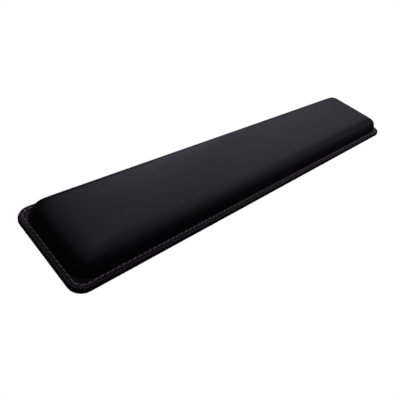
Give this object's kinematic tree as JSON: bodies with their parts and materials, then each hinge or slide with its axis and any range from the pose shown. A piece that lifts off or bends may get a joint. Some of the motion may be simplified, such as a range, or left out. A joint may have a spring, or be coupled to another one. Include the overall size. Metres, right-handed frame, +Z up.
{
  "type": "wrist rest",
  "caption": "Long padded keyboard wrist rest: a charcoal leatherette cover over foam, sewn round its flat flange to a thin black rubber base.",
  "frame": {"origin": "middle of the underside, on the desk", "axes": "+X along the length, +Y across the depth, +Z up out of the padding"},
  "size_m": [0.457, 0.088, 0.022],
  "materials": {
    "base_rubber": "matte, with a fine moulded grip pattern underneath",
    "lining_knit": "matte fine knit",
    "adhesive_film": "thin translucent film",
    "foam": "open-cell foam, matte",
    "backing_knit": "matte fine knit",
    "leatherette": "smooth satin leatherette with a very fine grain",
    "red_thread": "twisted polyester thread, slight sheen",
    "black_thread": "twisted polyester thread, slight sheen"
  },
  "bodies": {
    "root": {"rubber_base": "base_rubber", "base_lining": "lining_knit", "foam_adhesive": "adhesive_film", "foam_core": "foam", "cover_backing": "backing_knit", "cover_skin": "leatherette", "needle_thread": "red_thread", "bobbin_thread": "black_thread"}
  },
  "joints": []
}
